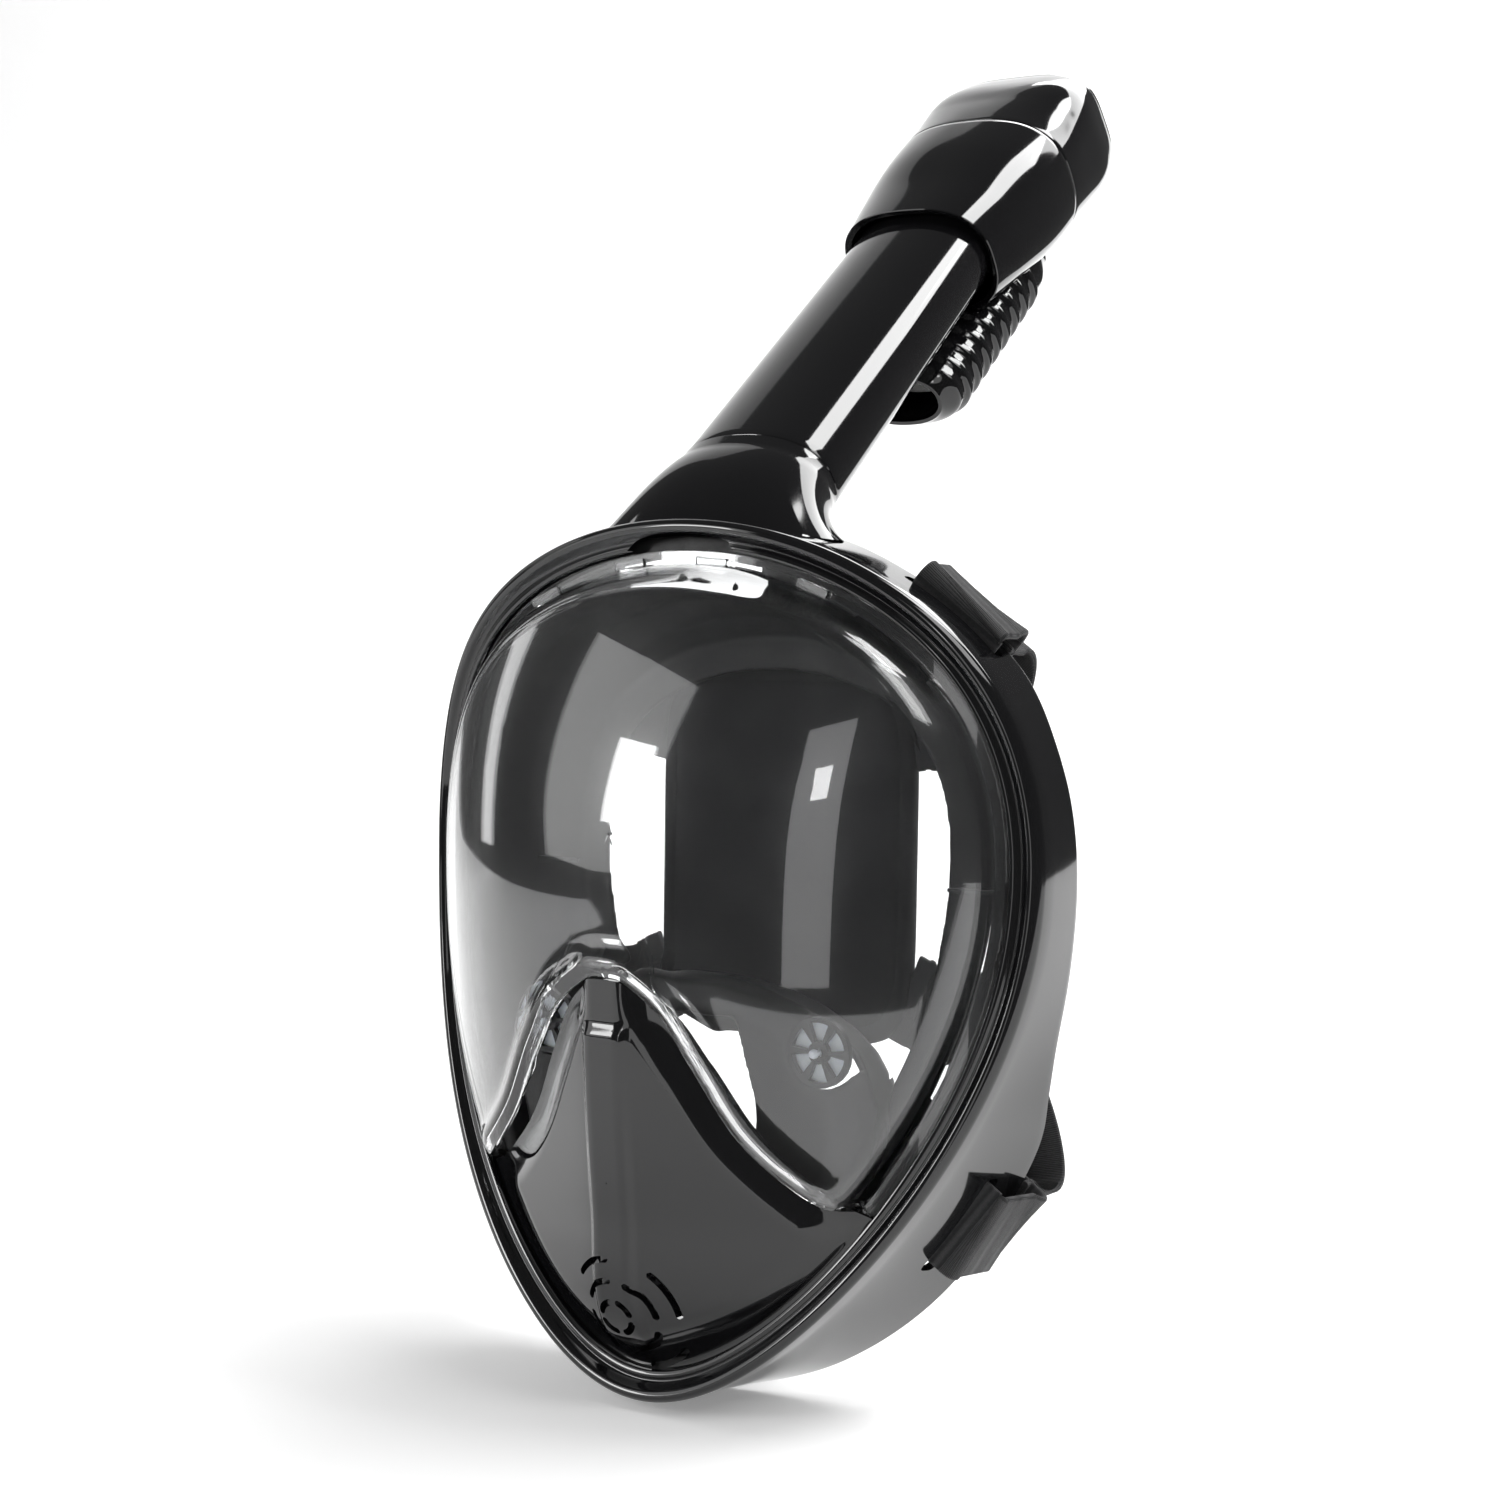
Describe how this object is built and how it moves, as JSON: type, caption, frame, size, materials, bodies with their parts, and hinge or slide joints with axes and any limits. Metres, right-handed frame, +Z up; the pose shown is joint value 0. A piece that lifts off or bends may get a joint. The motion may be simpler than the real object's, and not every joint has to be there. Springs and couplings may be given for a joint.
{
  "type": "full face snorkel",
  "caption": "Full face snorkel mask with a clear wraparound lens, gloss black frame, nose and chin cover, silicone face skirt, head straps and a plug-in dry-top snorkel tube.",
  "frame": {"origin": "centre of the face opening that the wearer's face closes", "axes": "+X to the right of someone looking at the mask, +Y out of the face opening towards the wearer, +Z up"},
  "size_m": [0.2232, 0.2853, 0.4386],
  "materials": {
    "gloss_shell": "polished",
    "clear_lens": "polished",
    "black_silicone": "matte",
    "satin_plastic": "satin",
    "milky_silicone": "satin",
    "webbing": "woven",
    "float_foam": "matte"
  },
  "bodies": {
    "mask": {"frame": "gloss_shell", "lens": "clear_lens", "nose_cover": "gloss_shell", "lens_gasket": "black_silicone", "clamp_ring": "satin_plastic", "face_skirt": "black_silicone", "breathing_pocket": "black_silicone", "check_valve_seat_left": "satin_plastic", "check_valve_seat_right": "satin_plastic", "drain_valve_seat": "satin_plastic", "strap_upper_left": "webbing", "strap_upper_right": "webbing", "strap_lower_left": "webbing", "strap_lower_right": "webbing", "strap_pad": "webbing"},
    "snorkel": {"snorkel_tube": "gloss_shell", "socket_seal": "black_silicone", "head_front_shell": "gloss_shell", "head_top_cap": "gloss_shell", "head_intake_duct": "gloss_shell", "intake_valve_seat": "satin_plastic", "exhale_valve_plate": "satin_plastic"},
    "latch": {"latch_button": "satin_plastic"},
    "float": {"float": "float_foam", "float_pad": "black_silicone"},
    "exhale_left": {"exhale_flap_left": "milky_silicone"},
    "exhale_right": {"exhale_flap_right": "milky_silicone"},
    "check_left": {"check_valve_flap_left": "milky_silicone"},
    "check_right": {"check_valve_flap_right": "milky_silicone"},
    "drain": {"drain_valve_flap": "black_silicone"}
  },
  "joints": [
    {"name": "snorkel_pull", "type": "slide", "parent": "mask", "child": "snorkel", "axis": [0, 0.7848, 0.6198], "range_m": [0, 0.045]},
    {"name": "latch_button_press", "type": "slide", "parent": "mask", "child": "latch", "axis": [0, -0.6198, 0.7848], "range_m": [0, 0.0008], "stiffness_N_per_m": 300, "springref_m": -0.0003},
    {"name": "float_rise", "type": "slide", "parent": "snorkel", "child": "float", "axis": [0, 0.7848, 0.6198], "range_m": [0, 0.01]},
    {"name": "exhale_flap_left_lift", "type": "slide", "parent": "snorkel", "child": "exhale_left", "axis": [0, 0.7848, 0.6198], "range_m": [0, 0.0012], "stiffness_N_per_m": 15, "springref_m": -0.0003},
    {"name": "exhale_flap_right_lift", "type": "slide", "parent": "snorkel", "child": "exhale_right", "axis": [0, 0.7848, 0.6198], "range_m": [0, 0.0012], "stiffness_N_per_m": 15, "springref_m": -0.0003},
    {"name": "check_flap_left_lift", "type": "slide", "parent": "mask", "child": "check_left", "axis": [0, 1, 0], "range_m": [0, 0.0012], "stiffness_N_per_m": 15, "springref_m": -0.0003},
    {"name": "check_flap_right_lift", "type": "slide", "parent": "mask", "child": "check_right", "axis": [0, 1, 0], "range_m": [0, 0.0012], "stiffness_N_per_m": 15, "springref_m": -0.0003},
    {"name": "drain_flap_lift", "type": "slide", "parent": "mask", "child": "drain", "axis": [0, -0.9553, -0.2955], "range_m": [0, 0.0012], "stiffness_N_per_m": 25, "springref_m": -0.0003}
  ]
}
